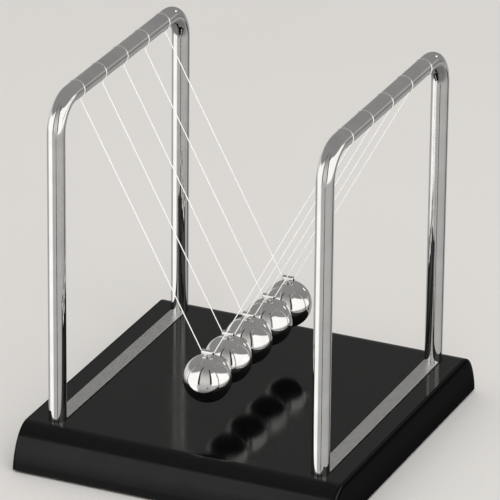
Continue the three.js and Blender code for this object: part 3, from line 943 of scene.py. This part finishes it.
def build_floor():
    """A plain pale floor that only shows from above, and keeps out of the metal's reflections."""
    shape = bmesh.new()
    bmesh.ops.create_grid(shape, x_segments=4, y_segments=4, size=FLOOR_REACH)
    floor = scene_object("floor", shape)
    floor.visible_glossy = False
    finish = bpy.data.materials.new("floor")
    finish.use_nodes = True
    tree = Tree(finish.node_tree)
    matt = finish.node_tree.nodes["Principled BSDF"]
    cloud = tree.noise(tree.place(), 9, detail=2)
    light, shade = PALE_WARM, tuple(0.97 * c for c in PALE_WARM)
    tree.put(matt.inputs["Base Color"], tree.colours(cloud, light, shade))
    tree.put(matt.inputs["Roughness"], 0.9)
    below = tree.add("ShaderNodeNewGeometry").outputs["Backfacing"]
    both = tree.add("ShaderNodeMixShader", {"Fac": below})
    tree.put(both.inputs[1], matt.outputs[0])
    tree.put(both.inputs[2], tree.add("ShaderNodeBsdfTransparent").outputs[0])
    tree.put(finish.node_tree.nodes["Material Output"].inputs["Surface"], both.outputs[0])
    floor.data.materials.append(finish)


def bearing_from(tree, bearing, centre):
    """How far a bearing is from a centre bearing, in degrees, the short way round."""
    turned_to = tree.math("WRAP", tree.minus(bearing, centre), 180.0, -180.0)
    return tree.math("ABSOLUTE", turned_to)


def with_patch(tree, room, bearing, elevation, patch):
    """The room with one soft-rimmed oval patch over it."""
    place, half_size, rim, brightness = patch
    spread = tree.spread(bearing_from(tree, bearing, place[0]), half_size[0],
                         tree.minus(elevation, place[1]), half_size[1])
    return tree.mix(tree.ramp(spread, *rim), room, brightness)


def sector(tree, bearing, span):
    """1 inside a span of bearings and 0 outside it."""
    centre, half_width = span
    return tree.ramp(bearing_from(tree, bearing, centre), *half_width)


def post(tree, bearing, elevation, size):
    """1 on an upright post and 0 off it."""
    span, level, reach = size
    return tree.times(sector(tree, bearing, span), tree.ramp(tree.away(elevation, level), *reach))


def room_seen_in_metal(tree):
    """Brightness of the studio by bearing and elevation in degrees (0 is behind, 90 right, 180 front)."""
    towards_x, towards_y, towards_z = tree.parts(tree.add("ShaderNodeTexCoord").outputs["Generated"])
    bearing = tree.math("DEGREES", tree.math("ARCTAN2", towards_x, towards_y))
    elevation = tree.math("DEGREES", tree.math("ARCSINE", towards_z))
    between_posts = sector(tree, bearing, BETWEEN_POSTS)
    above = upper_room(tree, bearing, elevation, between_posts)
    below = lower_room(tree, bearing, elevation)

    # The wall's foot, a soft line that is higher and softer between the posts.
    over_foot = tree.minus(elevation, tree.mix(between_posts, -13.0, -6.0))
    foot_blur = tree.mix(between_posts, 4.0, 10.0)
    room = tree.mix(tree.ramp(over_foot, tree.times(foot_blur, -1.0), foot_blur), below, above)
    room = with_patch(tree, room, bearing, elevation, HORIZON_GLOW)

    # Two dark posts in front, the left one leaning, a low dark patch between them, and one small lamp behind.
    leaning = tree.minus(bearing, tree.times(tree.math("MAXIMUM", elevation, LEAN_FROM), POST_LEAN))
    right_post = post(tree, bearing, elevation, RIGHT_POST)
    left_post = post(tree, leaning, elevation, LEFT_POST)
    room = tree.mix(tree.math("MAXIMUM", right_post, left_post), room, POST_SHADE)
    room = with_patch(tree, room, bearing, elevation, LOW_POST)
    return with_patch(tree, room, bearing, elevation, LAMP)


def upper_room(tree, bearing, elevation, between_posts):
    """A bright wall from the left, past the front, to the right. Its top steps down towards the back."""
    on_right = tree.math("GREATER_THAN", bearing, 0.0)
    from_start = tree.minus(bearing, LEFT_START)
    left_top = tree.math("MAXIMUM", tree.slope(from_start, *LEFT_TOP_STEEP),
                         tree.slope(from_start, *LEFT_TOP_GENTLE))
    right_top = tree.math("MINIMUM", tree.slope(bearing, *RIGHT_TOP), RIGHT_TOP_LEVEL)
    over_top = tree.minus(elevation, tree.mix(on_right, left_top, right_top))
    wall = tree.mix(sector(tree, bearing, LEFT_REAR), BRIGHT_WALL, REAR_WALL)
    wall = tree.mix(sector(tree, bearing, RIGHT_BEHIND), wall, CEILING)
    top_blur = tree.mix(on_right, 6.0, 2.5)
    room = tree.mix(tree.ramp(over_top, tree.times(top_blur, -1.0), top_blur), wall, CEILING)

    # Between the two posts the wall is greyer and fades into the ceiling.
    return tree.mix(between_posts, room, tree.ramp(elevation, 12, 62, FRONT_WALL, CEILING))


def lower_room(tree, bearing, elevation):
    """Dimmer below the wall's foot, with a bright window low on the left and a dark corner behind."""
    room = tree.mix(sector(tree, bearing, FRONT), LOW_REAR, LOW_FRONT)
    room = tree.times(room, tree.ramp(elevation, -46, -22, 0.45, 1))
    window = tree.times(sector(tree, bearing, LOW_WINDOW), tree.ramp(elevation, -46, -36))
    room = tree.mix(window, room, BRIGHT_WALL)
    room = with_patch(tree, room, bearing, elevation, DARK_CORNER)
    return with_patch(tree, room, bearing, elevation, GREY_CORNER)


def build_world():
    """Metal sees the studio by direction; everything else sees an even pale light."""
    world = bpy.data.worlds.new("studio")
    world.use_nodes = True
    world.cycles.sampling_method = "NONE"
    bpy.context.scene.world = world
    tree = Tree(world.node_tree)
    ground = world.node_tree.nodes["Background"]
    tree.put(ground.inputs["Color"], (1, 0.985, 0.965, 1))
    tree.put(ground.inputs["Strength"], tree.mix(seen_in_metal(tree), EVEN_LIGHT, room_seen_in_metal(tree)))


def build_light():
    """One large soft panel, above and to the right of the front."""
    panel = bpy.data.lights.new("panel", "AREA")
    panel.shape, panel.size = "DISK", PANEL_SIZE
    panel.energy = PANEL_POWER
    lamp = bpy.data.objects.new("panel", panel)
    bpy.context.scene.collection.objects.link(lamp)
    lamp.visible_glossy = False
    lamp.location = PANEL_PLACE
    lamp.rotation_euler = (Vector() - lamp.location).to_track_quat("-Z", "Y").to_euler()


def build_camera():
    """A long lens, above and to the right of the front, with a trace of roll."""
    right = Vector((math.cos(CAMERA_YAW), math.sin(CAMERA_YAW), 0))
    level = Z.cross(right)
    forward = level * math.cos(CAMERA_PITCH) - Z * math.sin(CAMERA_PITCH)
    up = right.cross(forward)
    rolled_right = right * math.cos(CAMERA_ROLL) + up * math.sin(CAMERA_ROLL)
    rolled_up = up * math.cos(CAMERA_ROLL) - right * math.sin(CAMERA_ROLL)
    aim = Z * BASE_TOP + right * CAMERA_SHIFT[0] + up * CAMERA_SHIFT[1]
    lens = bpy.data.cameras.new("camera")
    lens.lens, lens.sensor_width = CAMERA_LENS, CAMERA_SENSOR
    lens.clip_start, lens.clip_end = 0.1, 100
    camera = bpy.data.objects.new("camera", lens)
    bpy.context.scene.collection.objects.link(camera)
    turn = Matrix((rolled_right, rolled_up, -forward)).transposed()
    camera.matrix_world = Matrix.Translation(aim - forward * CAMERA_DISTANCE) @ turn.to_4x4()
    bpy.context.scene.camera = camera
    bpy.context.scene.view_settings.view_transform = "Standard"


build_base_shell()
build_inlays()
build_bottom_plate()
build_ballast()
build_feet()
build_screws()
build_washers()
build_frames()
build_pendulums()
build_floor()
build_world()
build_light()
build_camera()
